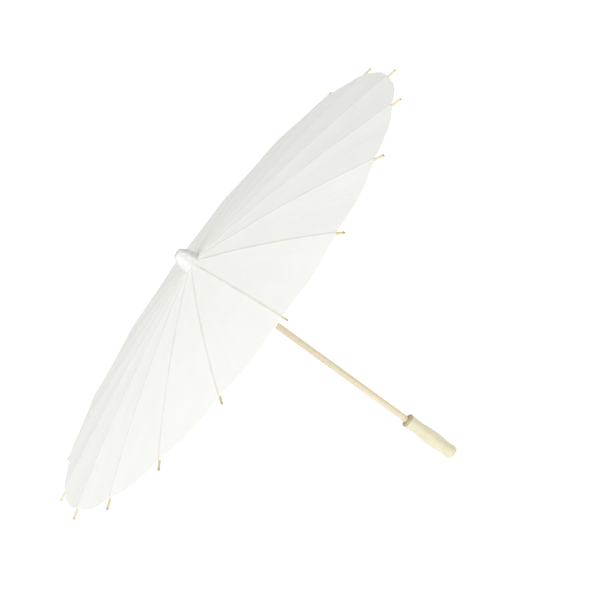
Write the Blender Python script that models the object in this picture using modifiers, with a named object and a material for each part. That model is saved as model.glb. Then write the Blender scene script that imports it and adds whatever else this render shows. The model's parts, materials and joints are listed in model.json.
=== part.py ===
"""Oil paper umbrella: a wood shaft and handle, bamboo ribs and stretchers, and a pleated paper canopy.

The shaft runs along +Z from the end of the handle, at the origin, to the cap. The canopy is open.
Each rib turns on the top notch about its own tangential axis. Each stretcher turns on a pin in its
rib and on the runner. The distance from notch to pin equals the distance from pin to runner, so the
lower ends of the stretchers stay at one radius and the runner slides straight along the shaft.
"""
import math

import bmesh
import bpy
from mathutils import Matrix, Vector

# Layout, in metres
RIB_COUNT = 18
TIP_RADIUS = 0.410
TOTAL_HEIGHT = 0.534
HUB_PAPER_HEIGHT = 0.5075
PIVOT_RADIUS = 0.0105
NOTCH_PIVOT_HEIGHT = 0.5060
PIN_RADIUS = 0.1945
STEP_ANGLE = 2.0 * math.pi / RIB_COUNT
GAP = 0.0003
CUT_PAST = 0.0010

# Canopy paper
PAPER_INNER_RADIUS = 0.0130
PAPER_RIB_RADIUS = 0.3945
PAPER_LOBE_RADIUS = 0.3968
PAPER_THICKNESS = 0.0003
HUB_SLOPE = 0.092
SLOPE_GROWTH = 0.170
PANEL_ROWS = 9
PANEL_COLUMNS = (-1.0, -0.5, 0.0, 0.5, 1.0)

# Ribs
RIB_HEAD_WIDTH = 0.0019
RIB_WIDTH = 0.0030
RIB_TIP_WIDTH = 0.0026
RIB_HEAD_DEPTH = 0.0034
RIB_PIN_DEPTH = 0.0052
RIB_TIP_DEPTH = 0.0030
RIB_HEAD_CHAMFER = 0.0009
RIB_HEAD_SETBACK = 0.0003
RIB_HEAD_BACK = 0.0010
RIB_NECK_RUN = 0.0030
RIB_NECK_START = 0.0035
RIB_NECK_END = 0.0110
RIB_PIN_SPAN = 0.030
RIB_PIN_TAPER = 0.0004
RIB_TIP_TAPER = 0.060
RIB_STATIONS = 9
RIB_SLOT_WIDTH = 0.0019
RIB_SLOT_ROOF = 0.0010
RIB_SLOT_INWARD = 0.0100
RIB_SLOT_OUTWARD = 0.0260
RIB_SLOT_HEIGHT = 0.0100
PIN_INSET = 0.0013

# Stretchers
STRETCHER_TONGUE = 0.0015
STRETCHER_WIDTH = 0.0022
STRETCHER_DEPTH = 0.0024
STRETCHER_END = 0.0012
STRETCHER_NOSE = 0.0005
STRETCHER_TONGUE_RUN = 0.0285
STRETCHER_SHOULDER_RUN = 0.0330
STRETCHER_FOOT_SHOULDER = 0.0120
STRETCHER_FOOT_TONGUE = 0.0080

# Top notch, runner and shaft
SHAFT_RADIUS = 0.0051
SHAFT_FOOT = 0.0585
SHAFT_TOP = 0.5100
SHAFT_SIDES = 32
RING_STEPS = 36
RING_CHAMFER = 0.0006
RING_RADIUS = 0.0120
RING_SLOT_WIDTH = 0.0023
RING_SLOT_RADIUS = 0.0082
NOTCH_BOTTOM = 0.5015
NOTCH_TOP = 0.5106
BORE_RADIUS = 0.0054
RUNNER_ABOVE_PIVOT = 0.0045
RUNNER_FLANGE = 0.0090
RUNNER_SLEEVE = 0.0170
RUNNER_SLEEVE_RADIUS = 0.0090
RUNNER_FOOT_RADIUS = 0.0100
RUNNER_SHOULDER = 0.0020
RUNNER_WAIST_DROP = 0.0070
RUNNER_WAIST_DEPTH = 0.0008
RUNNER_FOOT_RISE = 0.0045
RUNNER_FOOT_HEIGHT = 0.0030
RUNNER_FOOT_CHAMFER = 0.0008
RUNNER_SLOT_FLOOR = 0.0016

# Catch spring that holds the runner open
CATCH_WIRE_RADIUS = 0.0005
CATCH_LENGTH = 0.0260
CATCH_STAND_OUT = 0.0022
CATCH_SEAT_RADIUS = 0.0015
CATCH_SLOT_WIDTH = 0.0018
CATCH_SLOT_END = 0.0015
CATCH_CLEAR = 0.0006
CATCH_FOOT = 0.0040
CATCH_BEND_INWARD = 0.0016
CATCH_BEND_DROP = 0.0060
CATCH_SHOULDER_DROP = 0.0020
CATCH_SHOULDER_ROUND = 0.0004
CATCH_HOOK = 0.0030

# Cap
CAP_BOTTOM = 0.5079
CAP_SIDES = 8
CAP_COLLAR_HALF = 0.0168
CAP_COLLAR_HEIGHT = 0.0036
CAP_BODY_HALF = 0.0156
CAP_BODY_RISE = 0.0050
CAP_SHOULDER_HALF = 0.0128
CAP_SHOULDER_DROP = 0.0095
CAP_CROWN_HALF = 0.0086
CAP_CROWN_DROP = 0.0012
CAP_TOP_HALF = 0.0076
CAP_CAVITY_RADIUS = 0.0124
CAP_CAVITY_TOP = 0.5110

# Handle
HANDLE_TOP = 0.0930
HANDLE_BORE_BOTTOM = 0.0580
HANDLE_STEPS = 32


def paper_height(radius):
    """Height of the paper's outer face along a rib."""
    run = radius - PAPER_INNER_RADIUS
    return HUB_PAPER_HEIGHT - HUB_SLOPE * run - SLOPE_GROWTH * run * run


def rib_top_height(radius):
    """Height of the rib's upper edge, just under the paper."""
    return paper_height(radius) - PAPER_THICKNESS - GAP


def blend(stops, value):
    """Read a value from a short list of (position, value) stops."""
    for (low, first), (high, second) in zip(stops, stops[1:]):
        if value <= high:
            share = max(0.0, (value - low) / (high - low))
            return first + (second - first) * share
    return stops[-1][1]


PIN_HEIGHT = rib_top_height(PIN_RADIUS) - RIB_PIN_DEPTH + PIN_INSET
ARM_RUN = PIN_RADIUS - PIVOT_RADIUS
ARM_DROP = NOTCH_PIVOT_HEIGHT - PIN_HEIGHT
ARM_LENGTH = math.hypot(ARM_RUN, ARM_DROP)
RUNNER_PIVOT_HEIGHT = NOTCH_PIVOT_HEIGHT - 2.0 * ARM_DROP
RUNNER_TOP = RUNNER_PIVOT_HEIGHT + RUNNER_ABOVE_PIVOT
RUNNER_BOTTOM = RUNNER_TOP - RUNNER_FLANGE - RUNNER_SLEEVE
CATCH_TOP = RUNNER_BOTTOM - CATCH_CLEAR


def clear_scene():
    """Remove every object that the file starts with."""
    for old in list(bpy.data.objects):
        bpy.data.objects.remove(old, do_unlink=True)


def new_collection(name):
    """Make a collection and link it to the scene."""
    group = bpy.data.collections.new(name)
    bpy.context.scene.collection.children.link(group)
    return group


def material(name, color, roughness):
    """Make a plain Principled material."""
    made = bpy.data.materials.new(name)
    made.use_nodes = True
    shader = made.node_tree.nodes["Principled BSDF"]
    shader.inputs["Base Color"].default_value = (*color, 1.0)
    shader.inputs["Roughness"].default_value = roughness
    shader.inputs["Metallic"].default_value = 0.0
    made.diffuse_color = (*color, 1.0)
    return made


def mesh_from(work, name):
    """Turn a bmesh into a mesh with its faces pointing out."""
    bmesh.ops.recalc_face_normals(work, faces=work.faces)
    mesh = bpy.data.meshes.new(name)
    work.to_mesh(mesh)
    work.free()
    return mesh


def place(name, mesh, group, look=None, parent=None):
    """Make an object from a mesh, with its material and its parent."""
    made = bpy.data.objects.new(name, mesh)
    group.objects.link(made)
    if look is not None:
        if mesh.materials:
            mesh.materials[0] = look
        else:
            mesh.materials.append(look)
    made.parent = parent
    return made


def empty(name, group, location, turn=0.0, parent=None):
    """Make an empty that marks a joint's axis."""
    made = bpy.data.objects.new(name, None)
    made.empty_display_size = 0.01
    made.location = location
    made.rotation_euler = (0.0, 0.0, turn)
    made.parent = parent
    group.objects.link(made)
    return made


def cutter(name, mesh):
    """Keep a cutting shape out of the model and out of the render."""
    made = place(name, mesh, CUTTERS)
    made.hide_render = True
    made.display_type = "WIRE"
    return made


def cut(target, tool):
    """Take the cutter's shape away from the target."""
    step = target.modifiers.new("cut", "BOOLEAN")
    step.operation = "DIFFERENCE"
    step.solver = "EXACT"
    step.object = tool


def loft(name, rings):
    """Skin a row of four-cornered rings and close both ends."""
    work = bmesh.new()
    rows = [[work.verts.new(corner) for corner in ring] for ring in rings]
    for near, far in zip(rows, rows[1:]):
        for k in range(4):
            n = (k + 1) % 4
            work.faces.new((near[k], near[n], far[n], far[k]))
    work.faces.new(rows[0])
    work.faces.new(rows[-1])
    return mesh_from(work, name)


def turned(name, profile, steps, group, look):
    """Turn a profile of (radius, height) about Z with a Screw modifier."""
    mesh = bpy.data.meshes.new(name)
    edges = [(k, k + 1) for k in range(len(profile) - 1)]
    if profile[0][0] > 0.0 and profile[-1][0] > 0.0:
        edges.append((len(profile) - 1, 0))
    mesh.from_pydata([(radius, 0.0, height) for radius, height in profile], edges, [])
    made = place(name, mesh, group, look)
    screw = made.modifiers.new("turn", "SCREW")
    screw.axis = "Z"
    screw.steps = steps
    screw.render_steps = steps
    screw.use_merge_vertices = True
    screw.merge_threshold = 0.00005
    screw.use_smooth_shade = True
    return made


def radial_boxes(name, inner, outer, bottom, top, width):
    """One box for each rib, all in one cutter, from an inner to an outer radius."""
    work = bmesh.new()
    size = Vector((outer - inner, width, top - bottom))
    centre = Vector(((inner + outer) / 2.0, 0.0, (bottom + top) / 2.0))
    for k in range(RIB_COUNT):
        turn = Matrix.Rotation(k * STEP_ANGLE, 4, "Z")
        shape = Matrix.Translation(centre) @ Matrix.Diagonal((*size, 1.0))
        bmesh.ops.create_cube(work, size=1.0, matrix=turn @ shape)
    return cutter(name, mesh_from(work, name))


def rib_mesh():
    """The rib, seen from its notch pivot, with a slot for its stretcher's tongue."""
    depth_stops = [
        (PIVOT_RADIUS, RIB_HEAD_DEPTH),
        (PIN_RADIUS - RIB_PIN_SPAN, RIB_PIN_DEPTH - RIB_PIN_TAPER),
        (PIN_RADIUS, RIB_PIN_DEPTH),
        (PIN_RADIUS + RIB_PIN_SPAN, RIB_PIN_DEPTH - RIB_PIN_TAPER),
        (TIP_RADIUS, RIB_TIP_DEPTH),
    ]
    width_stops = [
        (PIVOT_RADIUS + RIB_NECK_START, RIB_HEAD_WIDTH),
        (PIVOT_RADIUS + RIB_NECK_END, RIB_WIDTH),
        (TIP_RADIUS - RIB_TIP_TAPER, RIB_WIDTH),
        (TIP_RADIUS, RIB_TIP_WIDTH),
    ]
    head = RIB_HEAD_DEPTH / 2.0
    head_top = NOTCH_PIVOT_HEIGHT + head
    head_bottom = head_top - RIB_HEAD_DEPTH
    stations = [
        (PIVOT_RADIUS - head, head_top - RIB_HEAD_CHAMFER, head_bottom + RIB_HEAD_CHAMFER),
        (PIVOT_RADIUS - head + RIB_HEAD_CHAMFER, head_top, head_bottom),
        (PIVOT_RADIUS + RIB_HEAD_BACK, head_top, head_bottom - RIB_HEAD_SETBACK),
    ]
    radii = [PIVOT_RADIUS + RIB_NECK_RUN, PIVOT_RADIUS + RIB_NECK_END]
    for k in range(1, RIB_STATIONS + 1):
        radii.append(PIVOT_RADIUS + (TIP_RADIUS - PIVOT_RADIUS) * k / RIB_STATIONS)
    for radius in radii:
        top = rib_top_height(radius)
        stations.append((radius, top, top - blend(depth_stops, radius)))
    rings = []
    for radius, top, bottom in stations:
        half = blend(width_stops, radius) / 2.0
        x = radius - PIVOT_RADIUS
        high = top - NOTCH_PIVOT_HEIGHT
        low = bottom - NOTCH_PIVOT_HEIGHT
        rings.append([(x, -half, high), (x, half, high), (x, half, low), (x, -half, low)])
    solid = place("rib_blank", loft("rib_blank", rings), CUTTERS)
    tool = rib_slot_cutter()
    cut(solid, tool)
    return bake(solid, "rib")


def rib_slot_cutter():
    """A box, tilted along the rib, that opens the stretcher's slot from below."""
    slope = math.atan(HUB_SLOPE + 2.0 * SLOPE_GROWTH * (PIN_RADIUS - PAPER_INNER_RADIUS))
    length = RIB_SLOT_INWARD + RIB_SLOT_OUTWARD
    middle = (RIB_SLOT_OUTWARD - RIB_SLOT_INWARD) / 2.0
    pin = Vector((ARM_RUN, 0.0, rib_top_height(PIN_RADIUS) - NOTCH_PIVOT_HEIGHT))
    tilt = Matrix.Translation(pin) @ Matrix.Rotation(slope, 4, "Y")
    centre = Matrix.Translation((middle, 0.0, -RIB_SLOT_ROOF - RIB_SLOT_HEIGHT / 2.0))
    shape = Matrix.Diagonal((length, RIB_SLOT_WIDTH, RIB_SLOT_HEIGHT, 1.0))
    work = bmesh.new()
    bmesh.ops.create_cube(work, size=1.0, matrix=tilt @ centre @ shape)
    return cutter("rib_slot", mesh_from(work, "rib_slot"))


def bake(source, name):
    """Keep the evaluated shape of an object as a mesh, and remove the object."""
    graph = bpy.context.evaluated_depsgraph_get()
    mesh = bpy.data.meshes.new_from_object(source.evaluated_get(graph))
    mesh.name = name
    bpy.data.objects.remove(source, do_unlink=True)
    return mesh


def stretcher_mesh():
    """The stretcher, from its pin in the rib down along -X to the runner."""
    tongue = STRETCHER_TONGUE / 2.0
    body = STRETCHER_WIDTH / 2.0
    deep = STRETCHER_DEPTH / 2.0
    nose = deep - STRETCHER_NOSE
    stations = [
        (-STRETCHER_END, tongue, nose),
        (-STRETCHER_END + STRETCHER_NOSE, tongue, deep),
        (STRETCHER_TONGUE_RUN, tongue, deep),
        (STRETCHER_SHOULDER_RUN, body, deep),
        (ARM_LENGTH - STRETCHER_FOOT_SHOULDER, body, deep),
        (ARM_LENGTH - STRETCHER_FOOT_TONGUE, tongue, deep),
        (ARM_LENGTH + STRETCHER_END - STRETCHER_NOSE, tongue, deep),
        (ARM_LENGTH + STRETCHER_END, tongue, nose),
    ]
    rings = []
    for run, half, deep_here in stations:
        rings.append([
            (-run, -half, deep_here),
            (-run, half, deep_here),
            (-run, half, -deep_here),
            (-run, -half, -deep_here),
        ])
    return loft("stretcher", rings)


def panel_mesh():
    """Canopy paper from one mid-gore fold to the next, ridged over its rib, seen from the rib's pivot."""
    half_step = STEP_ANGLE / 2.0
    work = bmesh.new()
    rows = []
    for row in range(PANEL_ROWS + 1):
        share = row / PANEL_ROWS
        line = []
        for turn in PANEL_COLUMNS:
            line.append(work.verts.new(panel_point(share, turn * half_step, half_step)))
        rows.append(line)
    for near, far in zip(rows, rows[1:]):
        for k in range(len(PANEL_COLUMNS) - 1):
            work.faces.new((near[k], far[k], far[k + 1], near[k + 1]))
    mesh = bpy.data.meshes.new("panel_sheet")
    work.to_mesh(mesh)
    work.free()
    sheet = place("panel_sheet", mesh, CUTTERS)
    thick = sheet.modifiers.new("paper", "SOLIDIFY")
    thick.thickness = PAPER_THICKNESS
    thick.offset = -1.0
    return bake(sheet, "canopy_panel")


def panel_point(share, angle, half_step):
    """A point of the paper at a share of its length and an angle from its rib."""
    from_middle = half_step - abs(angle)
    lobe = 1.0 - (from_middle / half_step) ** 2
    edge = PAPER_RIB_RADIUS + (PAPER_LOBE_RADIUS - PAPER_RIB_RADIUS) * lobe
    edge_on_rib = edge * math.cos(from_middle) / math.cos(half_step)
    on_rib = PAPER_INNER_RADIUS + (edge_on_rib - PAPER_INNER_RADIUS) * share
    radius = on_rib * math.cos(half_step) / math.cos(from_middle)
    x = radius * math.cos(angle)
    y = radius * math.sin(angle)
    if from_middle < 0.001:
        y -= math.copysign(GAP / 2.0, angle)
    return (x - PIVOT_RADIUS, y, paper_height(on_rib) - NOTCH_PIVOT_HEIGHT)


def make_ribs(group, bamboo, split_bamboo, paper):
    """Place every rib, its canopy panel and its stretcher about their own axes."""
    rib = rib_mesh()
    panel = panel_mesh()
    stretcher = stretcher_mesh()
    slope = math.atan2(ARM_DROP, ARM_RUN)
    for k in range(RIB_COUNT):
        turn = k * STEP_ANGLE
        at = (PIVOT_RADIUS * math.cos(turn), PIVOT_RADIUS * math.sin(turn), NOTCH_PIVOT_HEIGHT)
        hinge = empty(f"rib_hinge_{k:02d}", group, at, turn)
        place(f"rib_{k:02d}", rib, group, bamboo, hinge)
        place(f"canopy_panel_{k:02d}", panel, group, paper, hinge)
        pin = empty(f"stretcher_pin_{k:02d}", group, (ARM_RUN, 0.0, -ARM_DROP), 0.0, hinge)
        arm = place(f"stretcher_{k:02d}", stretcher, group, split_bamboo, pin)
        arm.rotation_euler = (0.0, -slope, 0.0)


def make_shaft(group, look):
    """The round wood shaft, with a slot right through it for the catch spring."""
    work = bmesh.new()
    height = SHAFT_TOP - SHAFT_FOOT
    middle = Matrix.Translation((0.0, 0.0, SHAFT_FOOT + height / 2.0))
    bmesh.ops.create_cone(
        work, cap_ends=True, segments=SHAFT_SIDES, radius1=SHAFT_RADIUS, radius2=SHAFT_RADIUS,
        depth=height, matrix=middle)
    shaft = place("shaft", mesh_from(work, "shaft"), group, look)
    bottom = CATCH_TOP - CATCH_LENGTH - CATCH_SLOT_END
    top = CATCH_TOP + CATCH_SLOT_END
    size = (SHAFT_RADIUS * 2.5, CATCH_SLOT_WIDTH, top - bottom, 1.0)
    centre = (0.0, 0.0, (bottom + top) / 2.0)
    tool = bmesh.new()
    turn = Matrix.Rotation(STEP_ANGLE / 2.0, 4, "Z")
    shape = Matrix.Translation(centre) @ Matrix.Diagonal(size)
    bmesh.ops.create_cube(tool, size=1.0, matrix=turn @ shape)
    cut(shaft, cutter("catch_slot", mesh_from(tool, "catch_slot")))
    smooth(shaft)


def make_top_notch(group, look):
    """The slotted ring at the top of the shaft that the rib heads turn in."""
    profile = [
        (BORE_RADIUS, NOTCH_TOP),
        (RING_RADIUS - RING_CHAMFER, NOTCH_TOP),
        (RING_RADIUS, NOTCH_TOP - RING_CHAMFER),
        (RING_RADIUS, NOTCH_BOTTOM + RING_CHAMFER),
        (RING_RADIUS - RING_CHAMFER, NOTCH_BOTTOM),
        (BORE_RADIUS, NOTCH_BOTTOM),
    ]
    notch = turned("top_notch", profile, RING_STEPS, group, look)
    tool = radial_boxes(
        "notch_slots", RING_SLOT_RADIUS, RING_RADIUS + 2.0 * CUT_PAST,
        NOTCH_BOTTOM - CUT_PAST, NOTCH_TOP + CUT_PAST, RING_SLOT_WIDTH)
    cut(notch, tool)


def make_runner(group, look):
    """The sliding ring: a slotted flange for the stretchers on a sleeve round the shaft."""
    flange_bottom = RUNNER_TOP - RUNNER_FLANGE
    profile = [
        (BORE_RADIUS, RUNNER_TOP),
        (RING_RADIUS - RING_CHAMFER, RUNNER_TOP),
        (RING_RADIUS, RUNNER_TOP - RING_CHAMFER),
        (RING_RADIUS, flange_bottom + RING_CHAMFER),
        (RING_RADIUS - RING_CHAMFER, flange_bottom),
        (RUNNER_SLEEVE_RADIUS, flange_bottom - RUNNER_SHOULDER),
        (RUNNER_SLEEVE_RADIUS - RUNNER_WAIST_DEPTH, flange_bottom - RUNNER_WAIST_DROP),
        (RUNNER_SLEEVE_RADIUS, RUNNER_BOTTOM + RUNNER_FOOT_RISE),
        (RUNNER_FOOT_RADIUS, RUNNER_BOTTOM + RUNNER_FOOT_HEIGHT),
        (RUNNER_FOOT_RADIUS, RUNNER_BOTTOM + RUNNER_FOOT_CHAMFER),
        (RUNNER_FOOT_RADIUS - RUNNER_FOOT_CHAMFER, RUNNER_BOTTOM),
        (BORE_RADIUS, RUNNER_BOTTOM),
    ]
    carrier = empty("runner_carrier", group, (PIVOT_RADIUS, 0.0, RUNNER_PIVOT_HEIGHT))
    runner = turned("runner", profile, RING_STEPS, group, look)
    runner.parent = carrier
    runner.location = (-PIVOT_RADIUS, 0.0, -RUNNER_PIVOT_HEIGHT)
    tool = radial_boxes(
        "runner_slots", RING_SLOT_RADIUS, RING_RADIUS + 2.0 * CUT_PAST,
        flange_bottom + RUNNER_SLOT_FLOOR, RUNNER_TOP + CUT_PAST, RING_SLOT_WIDTH)
    cut(runner, tool)


def make_catch_spring(group, look):
    """The bent wire in the shaft's slot: its shoulder stands out under the runner."""
    seat = CATCH_SEAT_RADIUS
    reach = SHAFT_RADIUS + CATCH_STAND_OUT
    points = [
        (seat, CATCH_TOP - CATCH_LENGTH),
        (seat, CATCH_TOP - CATCH_LENGTH + CATCH_FOOT),
        (reach - CATCH_BEND_INWARD, CATCH_TOP - CATCH_BEND_DROP),
        (reach, CATCH_TOP - CATCH_SHOULDER_DROP),
        (reach - CATCH_SHOULDER_ROUND, CATCH_TOP - CATCH_WIRE_RADIUS),
        (reach - CATCH_HOOK, CATCH_TOP - CATCH_WIRE_RADIUS),
    ]
    turn = STEP_ANGLE / 2.0
    curve = bpy.data.curves.new("catch_wire", "CURVE")
    curve.dimensions = "3D"
    curve.bevel_depth = CATCH_WIRE_RADIUS
    curve.bevel_resolution = 2
    curve.use_fill_caps = True
    spline = curve.splines.new("POLY")
    spline.points.add(len(points) - 1)
    for point, (radius, height) in zip(spline.points, points):
        x = (radius - seat) * math.cos(turn)
        y = (radius - seat) * math.sin(turn)
        point.co = (x, y, height - CATCH_TOP + CATCH_LENGTH, 1.0)
    wire = bpy.data.objects.new("catch_wire", curve)
    CUTTERS.objects.link(wire)
    spring = place("catch_spring", bake(wire, "catch_spring"), group, look)
    work = bmesh.new()
    work.from_mesh(spring.data)
    bmesh.ops.remove_doubles(work, verts=work.verts, dist=0.00002)
    work.to_mesh(spring.data)
    work.free()
    spring.location = (seat * math.cos(turn), seat * math.sin(turn), CATCH_TOP - CATCH_LENGTH)
    smooth(spring)


def cap_ring(work, height, across):
    """One ring of the faceted cap, given half its width across the flats."""
    corner = across / math.cos(math.pi / CAP_SIDES)
    ring = []
    for k in range(CAP_SIDES):
        turn = (k + 0.5) * 2.0 * math.pi / CAP_SIDES
        ring.append(work.verts.new((corner * math.cos(turn), corner * math.sin(turn), height)))
    return ring


def make_cap(group, look):
    """The paper-wrapped wood cap, in two steps with a chamfered top, hollow over the notch."""
    outline = [
        (CAP_BOTTOM, CAP_COLLAR_HALF),
        (CAP_BOTTOM + CAP_COLLAR_HEIGHT, CAP_COLLAR_HALF),
        (CAP_BOTTOM + CAP_BODY_RISE, CAP_BODY_HALF),
        (TOTAL_HEIGHT - CAP_SHOULDER_DROP, CAP_SHOULDER_HALF),
        (TOTAL_HEIGHT - CAP_CROWN_DROP, CAP_CROWN_HALF),
        (TOTAL_HEIGHT, CAP_TOP_HALF),
    ]
    work = bmesh.new()
    rings = [cap_ring(work, height, across) for height, across in outline]
    for near, far in zip(rings, rings[1:]):
        for k in range(CAP_SIDES):
            n = (k + 1) % CAP_SIDES
            work.faces.new((near[k], near[n], far[n], far[k]))
    work.faces.new(rings[0])
    work.faces.new(rings[-1])
    cap = place("cap", mesh_from(work, "cap"), group, look)
    tool = bmesh.new()
    bottom = CAP_BOTTOM - 2.0 * CUT_PAST
    middle = Matrix.Translation((0.0, 0.0, (bottom + CAP_CAVITY_TOP) / 2.0))
    bmesh.ops.create_cone(
        tool, cap_ends=True, segments=RING_STEPS, radius1=CAP_CAVITY_RADIUS, radius2=CAP_CAVITY_RADIUS,
        depth=CAP_CAVITY_TOP - bottom, matrix=middle)
    cut(cap, cutter("cap_cavity", mesh_from(tool, "cap_cavity")))


def make_handle(group, look):
    """The turned grip: a rounded lip, a swelling body, a waist and a flared end, bored for the shaft."""
    outer = [
        (0.0094, HANDLE_TOP),
        (0.0108, HANDLE_TOP - 0.0010),
        (0.0112, HANDLE_TOP - 0.0034),
        (0.0110, HANDLE_TOP - 0.0100),
        (0.0104, 0.0730),
        (0.0105, 0.0670),
        (0.0112, 0.0600),
        (0.0118, 0.0510),
        (0.0121, 0.0400),
        (0.0119, 0.0310),
        (0.0112, 0.0235),
        (0.0105, 0.0175),
        (0.0105, 0.0125),
        (0.0111, 0.0070),
        (0.0109, 0.0035),
        (0.0096, 0.0009),
        (0.0078, 0.0),
        (0.0, 0.0),
    ]
    bore = [
        (0.0, HANDLE_BORE_BOTTOM),
        (BORE_RADIUS, HANDLE_BORE_BOTTOM),
        (BORE_RADIUS, HANDLE_TOP),
    ]
    turned("handle", bore + outer, HANDLE_STEPS, group, look)


def smooth(item):
    """Shade a round piece smooth, and keep its real edges sharp."""
    item.data.shade_smooth()
    item.data.set_sharp_from_angle(angle=math.radians(35.0))


def main():
    """Build the umbrella."""
    group = new_collection("oil_paper_umbrella")
    bamboo = material("bamboo", (0.78, 0.66, 0.42), 0.55)
    split_bamboo = material("split_bamboo", (0.74, 0.62, 0.40), 0.60)
    paper = material("paper", (0.90, 0.90, 0.87), 0.80)
    dowel = material("dowel_wood", (0.76, 0.64, 0.45), 0.55)
    hub_wood = material("hub_wood", (0.70, 0.57, 0.38), 0.60)
    lacquer = material("lacquered_wood", (0.88, 0.80, 0.55), 0.30)
    cap_paper = material("cap_paper", (0.92, 0.92, 0.89), 0.75)
    steel = material("spring_steel", (0.60, 0.60, 0.58), 0.35)
    make_shaft(group, dowel)
    make_handle(group, lacquer)
    make_top_notch(group, hub_wood)
    make_runner(group, hub_wood)
    make_catch_spring(group, steel)
    make_cap(group, cap_paper)
    make_ribs(group, bamboo, split_bamboo, paper)


clear_scene()
CUTTERS = new_collection("cutters")
main()
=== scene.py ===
"""The looks of the oil paper umbrella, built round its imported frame."""

import json
import math

import bmesh
import bpy
import numpy as np
from mathutils import Matrix, Vector, noise


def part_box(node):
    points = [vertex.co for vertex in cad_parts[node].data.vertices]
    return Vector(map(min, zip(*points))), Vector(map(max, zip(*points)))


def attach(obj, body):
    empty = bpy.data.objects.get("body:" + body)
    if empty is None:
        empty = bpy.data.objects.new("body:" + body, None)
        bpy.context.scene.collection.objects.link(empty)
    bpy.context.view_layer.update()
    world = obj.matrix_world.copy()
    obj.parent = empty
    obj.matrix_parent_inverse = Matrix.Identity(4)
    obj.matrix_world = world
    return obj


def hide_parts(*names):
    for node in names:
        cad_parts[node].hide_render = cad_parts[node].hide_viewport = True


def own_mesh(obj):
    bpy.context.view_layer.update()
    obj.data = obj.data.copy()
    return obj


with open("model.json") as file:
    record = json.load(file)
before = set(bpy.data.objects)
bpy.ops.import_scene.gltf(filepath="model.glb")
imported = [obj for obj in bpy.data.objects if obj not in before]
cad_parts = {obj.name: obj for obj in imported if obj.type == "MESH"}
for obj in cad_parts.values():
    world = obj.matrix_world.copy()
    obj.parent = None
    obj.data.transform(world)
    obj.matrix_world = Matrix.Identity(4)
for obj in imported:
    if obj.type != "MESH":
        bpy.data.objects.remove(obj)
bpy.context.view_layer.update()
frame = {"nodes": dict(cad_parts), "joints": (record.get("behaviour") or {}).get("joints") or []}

# Camera: where it looks, from how far, and how much it is rolled so that the cap points up and left
AIM = Vector((0.068, 0.0683, 0.3187))
VIEW_DISTANCE = 3.6
VIEW_AZIMUTH = math.radians(-102.77)
VIEW_ELEVATION = math.radians(14.37)
VIEW_ROLL = math.radians(53.76)
LENS_MM = 140.6
SENSOR_MM = 36.0

# Light: strength and colour of the white surroundings, and of a large soft lamp, with its direction and
# the angle that it fills. The floor glows, so that it stays white.
SURROUND = 0.55
SURROUND_COLOR = (0.99, 1.0, 0.935, 1.0)
LAMP = 2.68
LAMP_COLOR = (0.985, 0.98, 1.0)
LAMP_FROM = (-0.58, -0.64, 0.50)
LAMP_SPREAD = math.radians(80.0)
FLOOR_GLOW = 0.86
FLOOR_RADIUS = 40.0
FLOOR_DROP = 0.0006

# Canopy: the same shape as its CAD panels, in metres
RIBS = sum(1 for name in frame["nodes"] if name.startswith("rib_"))
STEP = 2.0 * math.pi / RIBS
HALF = STEP / 2.0
HUB_RADIUS = 0.0130
HUB_HEIGHT = 0.5075
HUB_SLOPE = 0.092
SLOPE_GROWTH = 0.170
RIB_EDGE = 0.3945
LOBE_EDGE = 0.3968
TIP_RADIUS = 0.410

# Paper: its thickness, its folded hem, the ridge that a rib presses into it, and how it sags and creases
PAPER = 0.00022
HEM = 0.0032
HEM_STEP = 0.00016
EDGE_CURL = 0.0005
EDGE_NOTCH = 0.0009
EDGE_CUT = 0.0007
EDGE_NICK = 0.0006
RIDGE = 0.00032
LEAST_SAG = 0.0002
MOST_SAG = 0.0012
LEAST_FOLD = 0.00009
MOST_FOLD = 0.00022
FOLD_CENTRES = (0.27, 0.50, 0.73)
FOLD_SHIFT = 0.05
FOLD_BREADTH = 0.0085
BILLOW = 0.0006
CRINKLE = 0.00012

# Mesh of a panel: rows from hub to hem and across the hem, and columns from side to side. A share of the
# columns lies close together over the rib, on a strip that reaches this far to each side.
ROWS = 96
HEM_ROWS = 12
COLUMNS = 56
CROWN_SHARE = 0.30
CROWN = 0.0036

# Cap: eight flats with their corners rounded off, a skirt on the canopy, and the hollow inside
CAP_SIDES = 8
CAP_CORNER = 1.055
CAP_SKIRT = 0.0172
CAP_HOLLOW = 0.0125
CAP_HOLLOW_TOP = 0.5108

# Handle: where the lacquer stops below its top, and the bore for the shaft
LIP_DEPTH = 0.0042
BORE_RADIUS = 0.0053
BORE_BOTTOM = 0.0585

# Wood: how many times longer its grain is than it is wide, and the rounding of edges
GRAIN_STRETCH = 26.0
STRIP_EDGE = 0.00022
HUB_EDGE = 0.00016
SHAFT_EDGE = 0.0002

# Thread: its radius, how far its middle stands off the hubs, and where it is wound; then the stitches
THREAD_RADIUS = 0.00035
THREAD_STANDOFF = 0.00025
THREAD_WAVER = 0.00008
THREAD_POINTS = 96
NOTCH_THREADS = (0.5040, 0.5049)
RUNNER_THREAD_DROP = 0.0045
RUNNER_THREAD_STEP = 0.0008
STITCH_RADIUS = 0.00026
STITCH_HALF_WIDTH = 0.00185
STITCH_HALF_HEIGHT = 0.00105
STITCH_SQUARENESS = 1.3
STITCH_POINTS = 32


def paper_height(radius):
    """Height of the paper along a rib."""
    run = radius - HUB_RADIUS
    return HUB_HEIGHT - HUB_SLOPE * run - SLOPE_GROWTH * run * run


def smooth_step(low, high, value):
    """0 below low, 1 above high, smooth between."""
    share = min(1.0, max(0.0, (value - low) / (high - low)))
    return share * share * (3.0 - 2.0 * share)


# ---------------------------------------------------------------- materials

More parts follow.
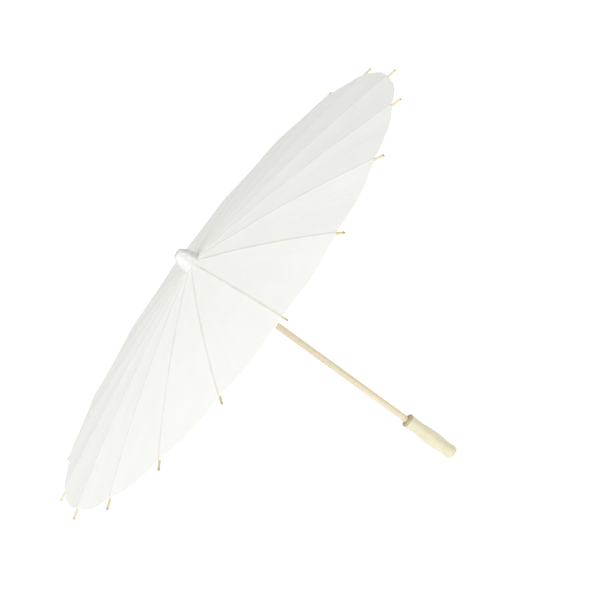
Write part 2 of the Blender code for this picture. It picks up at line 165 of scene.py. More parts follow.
class Nodes:
    """A short way to write a material's node tree."""

    def __init__(self, name):
        self.material = bpy.data.materials.new(name)
        self.material.use_nodes = True
        self.tree = self.material.node_tree
        self.shader = self.tree.nodes["Principled BSDF"]

    def add(self, kind, **values):
        """A node with its settings and the values of its inputs."""
        node = self.tree.nodes.new(kind)
        for key, value in values.items():
            if hasattr(node, key):
                setattr(node, key, value)
            else:
                node.inputs[key.replace("_", " ")].default_value = value
        return node

    def link(self, source, target):
        self.tree.links.new(source, target)

    def math(self, kind, first, second=None):
        """One step of arithmetic on numbers or sockets."""
        node = self.tree.nodes.new("ShaderNodeMath")
        node.operation = kind
        for index, value in enumerate((first, second)):
            if value is None:
                continue
            if isinstance(value, (int, float)):
                node.inputs[index].default_value = value
            else:
                self.link(value, node.inputs[index])
        return node.outputs[0]

    def mix(self, share, first, second):
        """A colour between first, where share is 0, and second, where it is 1."""
        node = self.tree.nodes.new("ShaderNodeMix")
        node.data_type = "RGBA"
        for socket, value in ((node.inputs[0], share), (node.inputs[6], first), (node.inputs[7], second)):
            if isinstance(value, (int, float)):
                socket.default_value = value
            elif isinstance(value, tuple):
                socket.default_value = (*value, 1.0)
            else:
                self.link(value, socket)
        return node.outputs[2]

    def noise(self, vector, scale, detail=4.0, rough=0.5):
        """Smooth noise at a place, from about 0 to 1."""
        node = self.tree.nodes.new("ShaderNodeTexNoise")
        node.inputs["Scale"].default_value = scale
        node.inputs["Detail"].default_value = detail
        node.inputs["Roughness"].default_value = rough
        self.link(vector, node.inputs["Vector"])
        return node.outputs[0]

    def ramp(self, value, low, high, first=0.0, last=1.0):
        """first where the value is low, last where it is high, and straight between."""
        node = self.tree.nodes.new("ShaderNodeMapRange")
        node.inputs["From Min"].default_value = low
        node.inputs["From Max"].default_value = high
        node.inputs["To Min"].default_value = first
        node.inputs["To Max"].default_value = last
        self.link(value, node.inputs["Value"])
        return node.outputs[0]

    def bump(self, height, strength, distance):
        """Fine relief on the surface."""
        node = self.tree.nodes.new("ShaderNodeBump")
        node.inputs["Strength"].default_value = strength
        node.inputs["Distance"].default_value = distance
        self.link(height, node.inputs["Height"])
        self.link(node.outputs[0], self.shader.inputs["Normal"])


def split(m, vector):
    """The three parts of a vector."""
    node = m.tree.nodes.new("ShaderNodeSeparateXYZ")
    m.link(vector, node.inputs[0])
    return node.outputs


def join(m, x, y, z):
    """A vector of three numbers or sockets."""
    node = m.tree.nodes.new("ShaderNodeCombineXYZ")
    for socket, value in zip(node.inputs, (x, y, z)):
        if isinstance(value, (int, float)):
            socket.default_value = value
        else:
            m.link(value, socket)
    return node.outputs[0]


def scaled(m, parts, scales):
    """A vector of three sockets, each times its own scale."""
    return join(m, *(m.math("MULTIPLY", part, scale) for part, scale in zip(parts, scales)))


def axis_distance(m, x, y):
    """Distance from the umbrella's axis."""
    return m.math("SQRT", m.math("ADD", m.math("MULTIPLY", x, x), m.math("MULTIPLY", y, y)))


def paper_material():
    """White oiled paper: long fibres, faint pleats with painted shade along them, a hem, and bamboo that
    shows through at the ribs.
    """
    m = Nodes("oiled_paper")
    sideways, along, _ = split(m, m.add("ShaderNodeUVMap", uv_map="across_and_along").outputs[0])
    from_edge, _, _ = split(m, m.add("ShaderNodeUVMap", uv_map="from_edge").outputs[0])
    place = m.add("ShaderNodeTexCoord").outputs["Object"]
    x, y, _ = split(m, place)
    reach = axis_distance(m, x, y)
    safe = m.math("MAXIMUM", reach, 0.001)
    east = m.math("DIVIDE", x, safe)
    north = m.math("DIVIDE", y, safe)

    def streaks(round_about, outward, detail, rough):
        scales = (round_about, round_about, outward)
        return m.noise(scaled(m, (east, north, reach), scales), 1.0, detail, rough)

    clouds = m.noise(place, 16.0, 4.0, 0.55)
    pleat_shade_and_relief = streaks(64.0, 2.2, 3.0, 0.55)
    fibres = streaks(420.0, 34.0, 5.0, 0.65)
    specks = m.noise(place, 1100.0, 2.0, 0.5)
    drift = m.noise(join(m, m.math("MULTIPLY", along, 60.0), east, north), 1.0, 2.0)
    waver = m.math("MULTIPLY", drift, 0.0005)
    side = m.math("SUBTRACT", m.math("ABSOLUTE", sideways), waver)
    core = m.ramp(side, 0.0002, 0.0011, 0.52, 0.0)
    band = m.ramp(side, 0.0011, 0.0022, 0.36, 0.0)
    showing = m.ramp(m.noise(place, 26.0, 3.0), 0.36, 0.64, 0.34, 0.70)
    rib = m.math("MULTIPLY", m.math("ADD", core, band), showing)
    white = m.mix(m.ramp(clouds, 0.35, 0.65), (0.869, 0.868, 0.860), (0.891, 0.889, 0.884))
    # Painted shade: along the pleats the paper is mixed darker and a little yellower, as if shaded by their
    # folds; the same pleat noise also drives the bump.
    pleat_shaded = m.mix(m.ramp(pleat_shade_and_relief, 0.40, 0.62, 0.0, 0.14), white, (0.835, 0.838, 0.806))
    fibrous = m.mix(m.ramp(fibres, 0.50, 0.78, 0.0, 0.20), pleat_shaded, (0.80, 0.80, 0.765))
    hem = m.ramp(from_edge, HEM - 0.0001, HEM + 0.0004, 0.30, 0.0)
    hemmed = m.mix(hem, fibrous, (0.90, 0.90, 0.89))
    cut = m.mix(m.ramp(from_edge, 0.0, 0.0007, 0.45, 0.0), hemmed, (0.70, 0.69, 0.63))
    m.link(m.mix(rib, cut, (0.62, 0.555, 0.38)), m.shader.inputs["Base Color"])
    m.link(m.ramp(fibres, 0.3, 0.7, 0.68, 0.56), m.shader.inputs["Roughness"])
    m.shader.inputs["Specular IOR Level"].default_value = 0.32
    m.shader.inputs["Sheen Weight"].default_value = 0.05
    height = m.math("ADD", m.math("MULTIPLY", pleat_shade_and_relief, 0.7), m.math("MULTIPLY", fibres, 0.26))
    height = m.math("ADD", height, m.math("MULTIPLY", specks, 0.10))
    m.bump(height, 0.35, 0.0006)
    return m.material


def grained_wood(name, light, dark, rough, scale=420.0):
    """Straight-grained wood: fine dark pores and slow bands that run along the piece."""
    m = Nodes(name)
    x, y, z = split(m, m.add("ShaderNodeTexCoord").outputs["Object"])
    grain_place = scaled(m, (x, y, z), (scale, scale, scale / GRAIN_STRETCH))
    fine = m.noise(grain_place, 1.0, 6.0, 0.65)
    pores = m.noise(grain_place, 4.2, 3.0, 0.6)
    bands = m.noise(scaled(m, (x, y, z), (60.0, 60.0, 9.0)), 1.0, 3.0, 0.5)
    grained = m.mix(m.ramp(fine, 0.32, 0.70), dark, light)
    banded = m.mix(m.ramp(bands, 0.35, 0.65, 0.0, 0.35), grained, dark)
    darker = tuple(0.62 * c for c in dark)
    porous = m.mix(m.ramp(pores, 0.62, 0.78, 0.0, 0.45), banded, darker)
    m.link(porous, m.shader.inputs["Base Color"])
    m.link(m.ramp(fine, 0.3, 0.7, rough + 0.08, rough - 0.06), m.shader.inputs["Roughness"])
    m.bump(m.math("ADD", m.math("MULTIPLY", fine, 0.6), m.math("MULTIPLY", pores, 0.4)), 0.2, 0.0002)
    return m.material


def bamboo_material(name, light, dark, tip=None):
    """Split bamboo with long fibres. With a tip colour, its end is darker and its top wears glued paper."""
    m = Nodes(name)
    x, y, z = split(m, m.add("ShaderNodeTexCoord").outputs["Object"])
    reach = axis_distance(m, x, y)
    turn = m.math("ARCTAN2", y, x)
    sideways = m.math("MULTIPLY", turn, reach)
    strands = m.noise(scaled(m, (sideways, z, reach), (4200.0, 3600.0, 60.0)), 1.0, 4.0, 0.6)
    tone = m.noise(join(m, m.math("MULTIPLY", turn, 9.0), 0.0, m.math("MULTIPLY", reach, 14.0)), 1.0, 3.0)
    flecks = m.noise(scaled(m, (sideways, z, reach), (2400.0, 2400.0, 420.0)), 1.0, 2.0)
    color = m.mix(m.ramp(strands, 0.35, 0.68), dark, light)
    color = m.mix(m.ramp(tone, 0.38, 0.66, 0.0, 0.4), color, tuple(0.86 * c for c in light))
    color = m.mix(m.ramp(flecks, 0.66, 0.80, 0.0, 0.5), color, tuple(0.55 * c for c in dark))
    if tip is not None:
        color = m.mix(m.ramp(reach, TIP_RADIUS - 0.0030, TIP_RADIUS - 0.0008, 0.0, 0.8), color, tip)
        facing = split(m, m.add("ShaderNodeTexCoord").outputs["Normal"])[2]
        covered = m.ramp(reach, RIB_EDGE - 0.0022, RIB_EDGE - 0.0016, 1.0, 0.0)
        glued = m.math("MULTIPLY", m.ramp(facing, 0.45, 0.75), covered)
        skin = m.mix(m.ramp(strands, 0.40, 0.70, 0.0, 0.5), (0.83, 0.82, 0.78), (0.72, 0.67, 0.52))
        color = m.mix(glued, color, skin)
    m.link(color, m.shader.inputs["Base Color"])
    m.link(m.ramp(strands, 0.3, 0.7, 0.58, 0.44), m.shader.inputs["Roughness"])
    m.bump(strands, 0.3, 0.0002)
    return m.material


def lacquer_material():
    """Pale yellow lacquer over turned wood: faint lathe rings, soft mottling and a glossy coat."""
    m = Nodes("pale_lacquer")
    place = m.add("ShaderNodeTexCoord").outputs["Object"]
    x, y, z = split(m, place)
    mottle = m.noise(place, 70.0, 4.0, 0.55)
    grain = m.noise(scaled(m, (x, y, z), (260.0, 260.0, 22.0)), 1.0, 5.0, 0.6)
    rings = m.noise(join(m, 0.0, 0.0, m.math("MULTIPLY", z, 900.0)), 1.0, 2.0)
    color = m.mix(m.ramp(mottle, 0.35, 0.65), (0.580, 0.548, 0.380), (0.622, 0.594, 0.434))
    color = m.mix(m.ramp(grain, 0.46, 0.70, 0.0, 0.60), color, (0.520, 0.462, 0.290))
    wear = m.ramp(m.noise(place, 420.0, 3.0), 0.58, 0.72, 0.0, 0.40)
    color = m.mix(wear, color, (0.65, 0.63, 0.50))
    m.link(color, m.shader.inputs["Base Color"])
    m.link(m.ramp(mottle, 0.3, 0.7, 0.42, 0.30), m.shader.inputs["Roughness"])
    m.shader.inputs["Coat Weight"].default_value = 0.7
    m.shader.inputs["Coat Roughness"].default_value = 0.18
    m.bump(m.math("ADD", m.math("MULTIPLY", rings, 0.5), m.math("MULTIPLY", grain, 0.5)), 0.12, 0.0002)
    return m.material


def thread_material():
    """White cotton thread with a twisted lay, with painted shade in the grooves between its strands."""
    m = Nodes("cotton_thread")
    place = m.add("ShaderNodeTexCoord").outputs["Object"]
    x, y, z = split(m, place)
    turn = m.math("ARCTAN2", y, x)
    lay_shade_and_relief = m.math("SINE", m.math("ADD", m.math("MULTIPLY", turn, 160.0), m.math("MULTIPLY", z, 9000.0)))
    fuzz = m.noise(place, 2600.0, 2.0)
    # Painted shade: the colour runs from white to a darker tan along the twist, in place of the shade in its
    # grooves; the same wave also drives the bump.
    color = m.mix(m.ramp(lay_shade_and_relief, -1.0, 1.0), (0.66, 0.63, 0.55), (0.88, 0.87, 0.82))
    m.link(m.mix(m.ramp(fuzz, 0.5, 0.8, 0.0, 0.4), color, (0.95, 0.94, 0.91)), m.shader.inputs["Base Color"])
    m.shader.inputs["Roughness"].default_value = 0.85
    m.shader.inputs["Sheen Weight"].default_value = 0.25
    m.bump(m.math("ADD", lay_shade_and_relief, fuzz), 0.3, 0.0001)
    return m.material


def steel_material():
    """Drawn steel wire with fine draw lines."""
    m = Nodes("drawn_steel")
    x, y, z = split(m, m.add("ShaderNodeTexCoord").outputs["Object"])
    lines = m.noise(scaled(m, (x, y, z), (6000.0, 6000.0, 120.0)), 1.0, 3.0)
    color = m.mix(m.ramp(lines, 0.3, 0.7), (0.46, 0.46, 0.45), (0.70, 0.70, 0.68))
    m.link(color, m.shader.inputs["Base Color"])
    m.shader.inputs["Metallic"].default_value = 1.0
    m.link(m.ramp(lines, 0.3, 0.7, 0.40, 0.24), m.shader.inputs["Roughness"])
    m.bump(lines, 0.15, 0.0001)
    return m.material


def wrap_material():
    """Thicker white paper glued over the cap, crumpled into small creases, with painted shade in the
    creases.
    """
    m = Nodes("cap_wrap_paper")
    place = m.add("ShaderNodeTexCoord").outputs["Object"]
    clouds = m.noise(place, 140.0, 5.0, 0.6)
    fibres = m.noise(place, 1400.0, 5.0, 0.7)
    bent = m.add("ShaderNodeVectorMath", operation="MULTIPLY_ADD")
    m.link(m.add("ShaderNodeTexNoise", Scale=120.0).outputs[1], bent.inputs[0])
    bent.inputs[1].default_value = (0.004, 0.004, 0.004)
    m.link(place, bent.inputs[2])
    cells = m.add("ShaderNodeTexVoronoi", feature="DISTANCE_TO_EDGE", Scale=150.0)
    m.link(bent.outputs[0], cells.inputs["Vector"])
    crease_shade_and_relief = m.ramp(cells.outputs[0], 0.0, 0.16, 1.0, 0.0)
    color = m.mix(m.ramp(clouds, 0.35, 0.65), (0.675, 0.678, 0.672), (0.722, 0.725, 0.721))
    color = m.mix(m.ramp(fibres, 0.5, 0.8, 0.0, 0.3), color, (0.63, 0.63, 0.61))
    # Painted shade: the paper is darkened along the crease lines; the same mask also presses the creases
    # into the bump.
    color = m.mix(m.math("MULTIPLY", crease_shade_and_relief, 0.40), color, (0.54, 0.54, 0.50))
    m.link(color, m.shader.inputs["Base Color"])
    m.link(m.ramp(clouds, 0.3, 0.7, 0.70, 0.55), m.shader.inputs["Roughness"])
    m.shader.inputs["Sheen Weight"].default_value = 0.06
    height = m.math("ADD", m.math("MULTIPLY", clouds, 0.6), m.math("MULTIPLY", fibres, 0.25))
    height = m.math("SUBTRACT", height, m.math("MULTIPLY", crease_shade_and_relief, 0.30))
    m.bump(height, 0.4, 0.0005)
    return m.material


# ---------------------------------------------------------------- mesh helpers

def new_object(name, mesh, material, smooth=True):
    """An object with one material, shaded smooth where its faces meet softly."""
    made = bpy.data.objects.new(name, mesh)
    bpy.context.scene.collection.objects.link(made)
    mesh.materials.append(material)
    if smooth:
        mesh.shade_smooth()
    return made


def lathe(name, profile, segments, material, shape=None):
    """Turn a line of (radius, height) points about Z. shape may change each point's radius."""
    work = bmesh.new()
    rings = []
    for radius, height in profile:
        if radius < 1e-6:
            rings.append([work.verts.new((0.0, 0.0, height))])
            continue
        ring = []
        for k in range(segments):
            turn = 2.0 * math.pi * k / segments
            r = radius if shape is None else shape(radius, height, turn)
            ring.append(work.verts.new((r * math.cos(turn), r * math.sin(turn), height)))
        rings.append(ring)
    for upper, lower in zip(rings, rings[1:]):
        for k in range(segments):
            n = (k + 1) % segments
            if len(upper) == 1:
                work.faces.new((upper[0], lower[k], lower[n]))
            elif len(lower) == 1:
                work.faces.new((upper[k], lower[0], upper[n]))
            else:
                work.faces.new((upper[k], lower[k], lower[n], upper[n]))
    bmesh.ops.recalc_face_normals(work, faces=work.faces)
    mesh = bpy.data.meshes.new(name)
    work.to_mesh(mesh)
    work.free()
    return new_object(name, mesh, material)


def catmull(points, steps):
    """A smooth line through (radius, height) points."""
    line = []
    padded = [points[0], *points, points[-1]]
    for a, b, c, d in zip(padded, padded[1:], padded[2:], padded[3:]):
        for k in range(steps):
            t = k / steps
            line.append(tuple(
                0.5 * (2.0 * q + (r - p) * t + (2.0 * p - 5.0 * q + 4.0 * r - s) * t ** 2
                       + (3.0 * q - p - 3.0 * r + s) * t ** 3)
                for p, q, r, s in zip(a, b, c, d)))
    line.append(points[-1])
    return line


def tube(name, points, radius, material, sides=8):
    """A mesh tube along a line of points that closes into a loop."""
    points = [Vector(p) for p in points]
    work = bmesh.new()
    rings = []
    count = len(points)
    side = None
    for k, point in enumerate(points):
        along = (points[(k + 1) % count] - points[(k - 1) % count]).normalized()
        if side is None:
            side = along.orthogonal().normalized()
        side = (side - along * side.dot(along)).normalized()
        up = along.cross(side)
        ring = []
        for s in range(sides):
            turn = 2.0 * math.pi * s / sides
            ring.append(work.verts.new(point + radius * (math.cos(turn) * side + math.sin(turn) * up)))
        rings.append(ring)
    first, last = rings[0], rings[-1]
    offset = min(range(sides), key=lambda s: (first[s].co - last[0].co).length)
    pairs = [*zip(rings, rings[1:]), (last, first[offset:] + first[:offset])]
    for near, far in pairs:
        for s in range(sides):
            n = (s + 1) % sides
            work.faces.new((near[s], near[n], far[n], far[s]))
    bmesh.ops.recalc_face_normals(work, faces=work.faces)
    mesh = bpy.data.meshes.new(name)
    work.to_mesh(mesh)
    work.free()
    return new_object(name, mesh, material)


# ---------------------------------------------------------------- canopy

def gore_plan():
    """For each gore between two ribs: how far its paper sags, and a few soft fold lines."""
    random = np.random.default_rng(7)
    plan = []
    for _ in range(RIBS):
        sag = random.uniform(LEAST_SAG, MOST_SAG)
        folds = []
        for centre in FOLD_CENTRES:
            height = random.uniform(LEAST_FOLD, MOST_FOLD) * random.choice((-1.0, 1.0))
            folds.append((centre + random.uniform(-FOLD_SHIFT, FOLD_SHIFT), height))
        plan.append((sag, folds))
    return plan


GORES = gore_plan()


def lift(turn, radius):
    """How far the paper stands off the straight chord between two ribs, at an angle round Z."""
    position = (turn / STEP) % RIBS
    gore = int(position)
    share = position - gore
    sag_depth, folds = GORES[gore]
    reach = min(1.0, max(0.0, (radius - HUB_RADIUS) / (RIB_EDGE - HUB_RADIUS)))
    middle = math.sin(math.pi * share) ** 2
    height = -sag_depth * reach ** 1.5 * middle
    for centre, depth in folds:
        away = abs(share - centre) * radius * STEP / FOLD_BREADTH
        if away < 1.0:
            height += depth * (1.0 - away * away) ** 2 * reach
    place = Vector((math.cos(turn) * 4.0, math.sin(turn) * 4.0, radius * 11.0))
    height += noise.noise(place * 2.0) * BILLOW * reach * middle
    height += noise.noise(place * 9.0) * CRINKLE * reach * middle
    return height


def edge_radius(turn, angle, y):
    """The paper's edge: a lobe between ribs, cut by hand, and drawn back where it meets a rib."""
    from_middle = HALF - abs(angle)
    lobe = 1.0 - (from_middle / HALF) ** 2
    notch = EDGE_NOTCH * (1.0 - smooth_step(0.0008, 0.0060, abs(y)))
    cut = noise.noise(Vector((math.cos(turn) * 26.0, math.sin(turn) * 26.0, 3.0)))
    nick = noise.noise(Vector((math.cos(turn) * 84.0, math.sin(turn) * 84.0, 9.0)))
    return RIB_EDGE + (LOBE_EDGE - RIB_EDGE) * lobe - notch + EDGE_CUT * cut + EDGE_NICK * nick


def half_width(on_rib):
    """How far a panel reaches to each side of its rib."""
    return on_rib * math.sin(HALF) * math.cos(HALF)


def across(column, on_rib):
    """Sideways place of a column of vertices: close together over the rib, even beyond it."""
    share = abs(column)
    width = half_width(on_rib)
    crown = min(CROWN, 0.5 * width)
    if share <= CROWN_SHARE:
        y = crown * share / CROWN_SHARE
    else:
        y = crown + (width - crown) * (share - CROWN_SHARE) / (1.0 - CROWN_SHARE)
    return math.copysign(y, column)


def edge_on_rib(turn, column):
    """The distance along the rib at which a column of vertices meets the edge."""
    on_rib = RIB_EDGE
    for _ in range(6):
        y = across(column, on_rib)
        x = on_rib - abs(y) * math.tan(HALF)
        angle = math.atan2(y, x)
        edge = edge_radius(turn + angle, angle, y)
        on_rib = edge * math.cos(HALF - abs(angle)) / math.cos(HALF)
    return on_rib


def row_shares():
    """Shares of the way from hub to edge, closer together in the hem."""
    hem_start = 1.0 - 1.5 * HEM / RIB_EDGE
    inner = [hem_start * k / ROWS for k in range(ROWS)]
    return inner + [hem_start + (1.0 - hem_start) * k / HEM_ROWS for k in range(HEM_ROWS + 1)]


def paper_point(turn, column, on_rib, from_edge):
    """A point on the paper's upper face, and its distance to the side of the rib."""
    y = across(column, on_rib)
    x = on_rib - abs(y) * math.tan(HALF)
    angle = math.atan2(y, x)
    radius = math.hypot(x, y)
    ridge = -RIDGE * smooth_step(0.0010, 0.0030, abs(y)) * smooth_step(0.016, 0.030, on_rib)
    hem = HEM_STEP * (1.0 - smooth_step(HEM - 0.0002, HEM + 0.0003, from_edge))
    curl = -EDGE_CURL * (1.0 - smooth_step(0.0, 0.0014, from_edge))
    clear = smooth_step(0.0018, 0.0060, abs(y))
    z = paper_height(on_rib) + ridge + hem + curl + clear * lift(turn + angle, radius)
    return (radius * math.cos(turn + angle), radius * math.sin(turn + angle), z), y


def panel(index, material):
    """Canopy paper from mid-gore to mid-gore over one rib, as one closed thin sheet."""
    turn = index * STEP
    columns = [2.0 * k / COLUMNS - 1.0 for k in range(COLUMNS + 1)]
    ends = [edge_on_rib(turn, column) for column in columns]
    work = bmesh.new()
    uv_place = work.loops.layers.uv.new("across_and_along")
    uv_edge = work.loops.layers.uv.new("from_edge")
    facts = {}
    top = []
    under = []
    for share in row_shares():
        upper = []
        lower = []
        for column, end in zip(columns, ends):
            on_rib = HUB_RADIUS + (end - HUB_RADIUS) * share
            point, y = paper_point(turn, column, on_rib, end - on_rib)
            for row, drop in ((upper, 0.0), (lower, PAPER)):
                vert = work.verts.new((point[0], point[1], point[2] - drop))
                facts[vert] = (y, on_rib, end - on_rib)
                row.append(vert)
        top.append(upper)
        under.append(lower)
    for a in range(len(top) - 1):
        for k in range(COLUMNS):
            work.faces.new((top[a][k], top[a + 1][k], top[a + 1][k + 1], top[a][k + 1]))
            work.faces.new((under[a][k], under[a][k + 1], under[a + 1][k + 1], under[a + 1][k]))
    rim = [(row[0], low[0]) for row, low in zip(top, under)]
    rim += [(vert, low) for vert, low in zip(top[-1][1:], under[-1][1:])]
    rim += [(row[-1], low[-1]) for row, low in zip(top[-2::-1], under[-2::-1])]
    rim += [(vert, low) for vert, low in zip(top[0][-2:0:-1], under[0][-2:0:-1])]
    for (a, low_a), (b, low_b) in zip(rim, rim[1:] + rim[:1]):
        side = work.faces.new((a, low_a, low_b, b))
        for edge in side.edges:
            edge.smooth = False
    for face in work.faces:
        for loop in face.loops:
            y, on_rib, from_edge = facts[loop.vert]
            loop[uv_place].uv = (y, on_rib)
            loop[uv_edge].uv = (from_edge, 0.0)
    bmesh.ops.recalc_face_normals(work, faces=work.faces)
    mesh = bpy.data.meshes.new(f"canopy_paper_{index:02d}")
    work.to_mesh(mesh)
    work.free()
    return new_object(mesh.name, mesh, material)


def make_canopy(material):
    """One panel for each rib. Together they look like one sheet when the umbrella is open."""
    for k in range(RIBS):
        sheet = panel(k, material)
        body = f"rib_{k:02d}"
        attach(sheet, body)
        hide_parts(f"canopy_panel_{k:02d}")
        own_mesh(sheet)


# ---------------------------------------------------------------- cap, handle and threads

def cap_shape(radius, height, turn):
    """Paper folded over eight flats: a rounded octagon, a little crumpled."""
    sector = 2.0 * math.pi / CAP_SIDES
    offset = (turn + sector / 2.0) % sector - sector / 2.0
    rounded = min(1.0 / math.cos(offset), CAP_CORNER)
    place = Vector((math.cos(turn) * 2.2, math.sin(turn) * 2.2, height * 190.0))
    crumple = 0.011 * noise.noise(place) + 0.006 * noise.noise(place * 2.9)
    return radius * rounded * (1.0 + crumple)


def make_cap(material):
    """The paper-wrapped cap: a flat top, eight sloping sides, and a collar that meets the canopy."""
    low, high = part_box("cap")
    skirt = paper_height(CAP_SKIRT) + 0.00012
    outline = [
        (0.0, high.z - 0.0007), (0.0030, high.z - 0.0004), (0.0066, high.z - 0.0001),
        (0.0076, high.z - 0.0004), (0.0083, high.z - 0.0013), (0.0091, high.z - 0.0027),
        (0.0103, high.z - 0.0050), (0.0116, high.z - 0.0074), (0.0127, high.z - 0.0096),
        (0.0134, high.z - 0.0120), (0.0141, high.z - 0.0146), (0.0148, high.z - 0.0175),
        (0.0153, low.z + 0.0058), (0.0156, low.z + 0.0050), (0.0161, low.z + 0.0044),
        (0.0166, low.z + 0.0039), (0.0169, low.z + 0.0030), (0.0169, low.z + 0.0015),
        (0.0170, low.z + 0.0003), (0.0173, skirt), (0.0160, skirt + 0.0002), (0.0128, 0.5079),
        (CAP_HOLLOW, 0.5083), (CAP_HOLLOW, CAP_HOLLOW_TOP), (0.0, CAP_HOLLOW_TOP),
    ]
    cap = lathe("cap_wrap", outline, 128, material, cap_shape)
    cap.data.set_sharp_from_angle(angle=math.radians(50.0))
    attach(cap, "frame")
    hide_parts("cap")


def make_handle(material, lip_material):
    """The turned grip and the darker bare lip round the shaft."""
    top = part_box("handle")[1].z
    seam = top - LIP_DEPTH
    body = catmull([
        (0.0109, seam), (0.01115, seam - 0.0014), (0.0110, top - 0.0105), (0.0105, 0.0735),
        (0.0105, 0.0670), (0.0112, 0.0600), (0.0118, 0.0510), (0.0121, 0.0400), (0.0119, 0.0310),
        (0.0112, 0.0235), (0.0105, 0.0175), (0.0105, 0.0125), (0.0111, 0.0070), (0.0109, 0.0035),
        (0.0096, 0.0009), (0.0078, 0.0),
    ], 6)
    bore = [(0.0, BORE_BOTTOM), (BORE_RADIUS, BORE_BOTTOM), (BORE_RADIUS, seam + 0.0001)]
    grip = lathe("handle_grip", bore + body + [(0.0, 0.0)], 96, material)
    grip.data.set_sharp_from_angle(angle=math.radians(40.0))
    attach(grip, "frame")
    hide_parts("handle")
    section = catmull([
        (BORE_RADIUS, seam + 0.0002), (0.0054, top - 0.0012), (0.0062, top - 0.0003), (0.0080, top),
        (0.0098, top - 0.0003), (0.0110, top - 0.0014), (0.0113, top - 0.0026), (0.0109, seam + 0.0002),
    ], 5)
    lip = lathe("handle_lip", section + section[:1], 96, lip_material)
    join_end_rings(lip)
    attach(lip, "frame")


def join_end_rings(item):
    """Join the first and last ring of a profile that closes on itself."""
    work = bmesh.new()
    work.from_mesh(item.data)
    bmesh.ops.remove_doubles(work, verts=work.verts, dist=0.000005)
    bmesh.ops.recalc_face_normals(work, faces=work.faces)
    work.to_mesh(item.data)
    work.free()


def softened(name, node, body, material, width=STRIP_EDGE):
    """A copy of a CAD solid with its edges rounded, shown in its place."""
    source = frame["nodes"][node]
    work = bmesh.new()
    work.from_mesh(source.data)
    bmesh.ops.remove_doubles(work, verts=work.verts, dist=0.000002)
    bmesh.ops.dissolve_limit(work, angle_limit=math.radians(1.0), verts=work.verts, edges=work.edges)
    mesh = bpy.data.meshes.new(name)
    work.to_mesh(mesh)
    work.free()
    item = new_object(name, mesh, material)
    bevel = item.modifiers.new("edges", "BEVEL")
    bevel.width = width
    bevel.segments = 2
    bevel.limit_method = "ANGLE"
    bevel.angle_limit = math.radians(35.0)
    item.data.set_sharp_from_angle(angle=math.radians(60.0))
    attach(item, body)
    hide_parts(node)


def ring_points(radius, height):
    """Points round a slightly wavy circle about Z."""
    points = []
    for k in range(THREAD_POINTS):
        turn = 2.0 * math.pi * k / THREAD_POINTS
        z = height + THREAD_WAVER * math.sin(5.0 * turn)
        points.append((radius * math.cos(turn), radius * math.sin(turn), z))
    return points


def make_threads(material):
    """Thread wound round the notch and the runner, which holds the heads in their slots."""
    notch_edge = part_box("top_notch")[1].x
    for k, height in enumerate(NOTCH_THREADS):
        points = ring_points(notch_edge + THREAD_STANDOFF, height)
        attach(tube(f"notch_thread_{k}", points, THREAD_RADIUS, material), "frame")
    runner_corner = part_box("runner")[1]
    middle = runner_corner.z - RUNNER_THREAD_DROP
    for k in range(3):
        points = ring_points(runner_corner.x + THREAD_STANDOFF, middle + (k - 1) * RUNNER_THREAD_STEP)
        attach(tube(f"runner_thread_{k}", points, THREAD_RADIUS, material), "runner")


def make_stitches(material):
    """A turn of thread round each rib where its stretcher is pinned."""
    for k in range(RIBS):
        joint = next(j for j in frame["joints"] if j["name"] == f"stretcher_turn_{k:02d}")
        pin = Vector(joint["pos_m"])
        turn = k * STEP
        sideways = Vector((-math.sin(turn), math.cos(turn), 0.0))
        points = []
        for s in range(STITCH_POINTS):
            angle = 2.0 * math.pi * s / STITCH_POINTS
            wide = STITCH_HALF_WIDTH * max(-1.0, min(1.0, STITCH_SQUARENESS * math.cos(angle)))
            tall = STITCH_HALF_HEIGHT * max(-1.0, min(1.0, STITCH_SQUARENESS * math.sin(angle)))
            points.append(pin + sideways * wide + Vector((0.0, 0.0, tall)))
        loop = tube(f"stitch_{k:02d}", points, STITCH_RADIUS, material, sides=6)
        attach(loop, f"rib_{k:02d}")


# ---------------------------------------------------------------- setting

def make_frame_pieces(bamboo, strut, dowel, hub, steel):
    """The wood and bamboo pieces, with their edges rounded, and the spring in its own material."""
    for k in range(RIBS):
        softened(f"rib_strip_{k:02d}", f"rib_{k:02d}", f"rib_{k:02d}", bamboo)
        softened(f"strut_{k:02d}", f"stretcher_{k:02d}", f"stretcher_{k:02d}", strut)
    softened("notch_wood", "top_notch", "frame", hub, HUB_EDGE)
    softened("runner_wood", "runner", "runner", hub, HUB_EDGE)
    softened("shaft_wood", "shaft", "frame", dowel, SHAFT_EDGE)
    spring = frame["nodes"]["catch_spring"]
    spring.data.materials.clear()
    spring.data.materials.append(steel)
    spring.data.shade_smooth()
    spring.data.set_sharp_from_angle(angle=math.radians(40.0))


def make_camera():
    """The photographed view: from beside the umbrella and a little above it, and rolled over."""
    towards = Vector((
        math.cos(VIEW_ELEVATION) * math.cos(VIEW_AZIMUTH),
        math.cos(VIEW_ELEVATION) * math.sin(VIEW_AZIMUTH),
        math.sin(VIEW_ELEVATION)))
    level = Vector((0.0, 0.0, 1.0)).cross(towards).normalized()
    upright = towards.cross(level)
    up = math.cos(VIEW_ROLL) * upright + math.sin(VIEW_ROLL) * level
    right = up.cross(towards)
    data = bpy.data.cameras.new("camera")
    data.lens = LENS_MM
    data.sensor_width = SENSOR_MM
    data.clip_end = 100.0
    camera = bpy.data.objects.new("camera", data)
    bpy.context.scene.collection.objects.link(camera)
    turned = Matrix((right, up, towards)).transposed().to_4x4()
    camera.matrix_world = Matrix.Translation(AIM + towards * VIEW_DISTANCE) @ turned
    bpy.context.scene.camera = camera


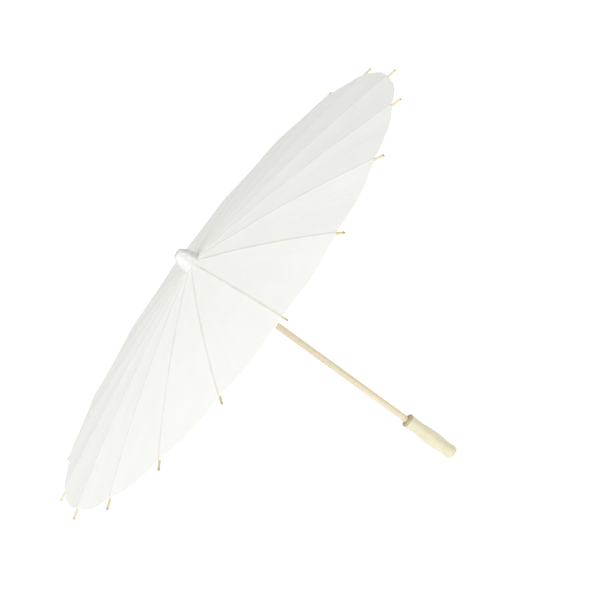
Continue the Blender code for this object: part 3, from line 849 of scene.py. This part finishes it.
def make_setting():
    """Plain white floor, white surroundings and one large soft lamp from the left and in front."""
    world = bpy.data.worlds.new("studio")
    bpy.context.scene.world = world
    world.use_nodes = True
    background = world.node_tree.nodes["Background"]
    background.inputs["Color"].default_value = SURROUND_COLOR
    background.inputs["Strength"].default_value = SURROUND
    work = bmesh.new()
    bmesh.ops.create_circle(work, cap_ends=True, segments=96, radius=FLOOR_RADIUS)
    mesh = bpy.data.meshes.new("floor")
    work.to_mesh(mesh)
    work.free()
    m = Nodes("studio_floor")
    place = m.add("ShaderNodeTexCoord").outputs["Object"]
    tone = m.mix(m.ramp(m.noise(place, 3.0), 0.3, 0.7), (0.30, 0.30, 0.30), (0.33, 0.33, 0.33))
    m.link(tone, m.shader.inputs["Base Color"])
    m.shader.inputs["Roughness"].default_value = 0.9
    m.shader.inputs["Emission Color"].default_value = (1.0, 1.0, 1.0, 1.0)
    m.shader.inputs["Emission Strength"].default_value = FLOOR_GLOW
    floor = new_object("floor", mesh, m.material, smooth=False)
    floor.location = (0.0, 0.0, -FLOOR_DROP)
    data = bpy.data.lights.new("soft_lamp", "SUN")
    data.energy = LAMP
    data.color = LAMP_COLOR
    data.angle = LAMP_SPREAD
    lamp = bpy.data.objects.new("soft_lamp", data)
    bpy.context.scene.collection.objects.link(lamp)
    lamp.rotation_euler = Vector(LAMP_FROM).to_track_quat("Z", "Y").to_euler()
    bpy.context.scene.view_settings.view_transform = "Standard"


make_camera()
make_canopy(paper_material())
make_cap(wrap_material())
make_handle(
    lacquer_material(),
    grained_wood("raw_lip_wood", (0.52, 0.45, 0.29), (0.37, 0.30, 0.17), 0.6, scale=600.0))
cotton = thread_material()
make_threads(cotton)
make_stitches(cotton)
make_frame_pieces(
    bamboo_material("rib_bamboo", (0.71, 0.63, 0.39), (0.58, 0.49, 0.27), (0.34, 0.29, 0.14)),
    bamboo_material("strut_bamboo", (0.74, 0.63, 0.39), (0.58, 0.46, 0.25)),
    grained_wood("dowel_wood", (0.690, 0.620, 0.470), (0.600, 0.515, 0.365), 0.5),
    grained_wood("hub_wood", (0.62, 0.49, 0.31), (0.50, 0.37, 0.21), 0.6),
    steel_material())
make_setting()
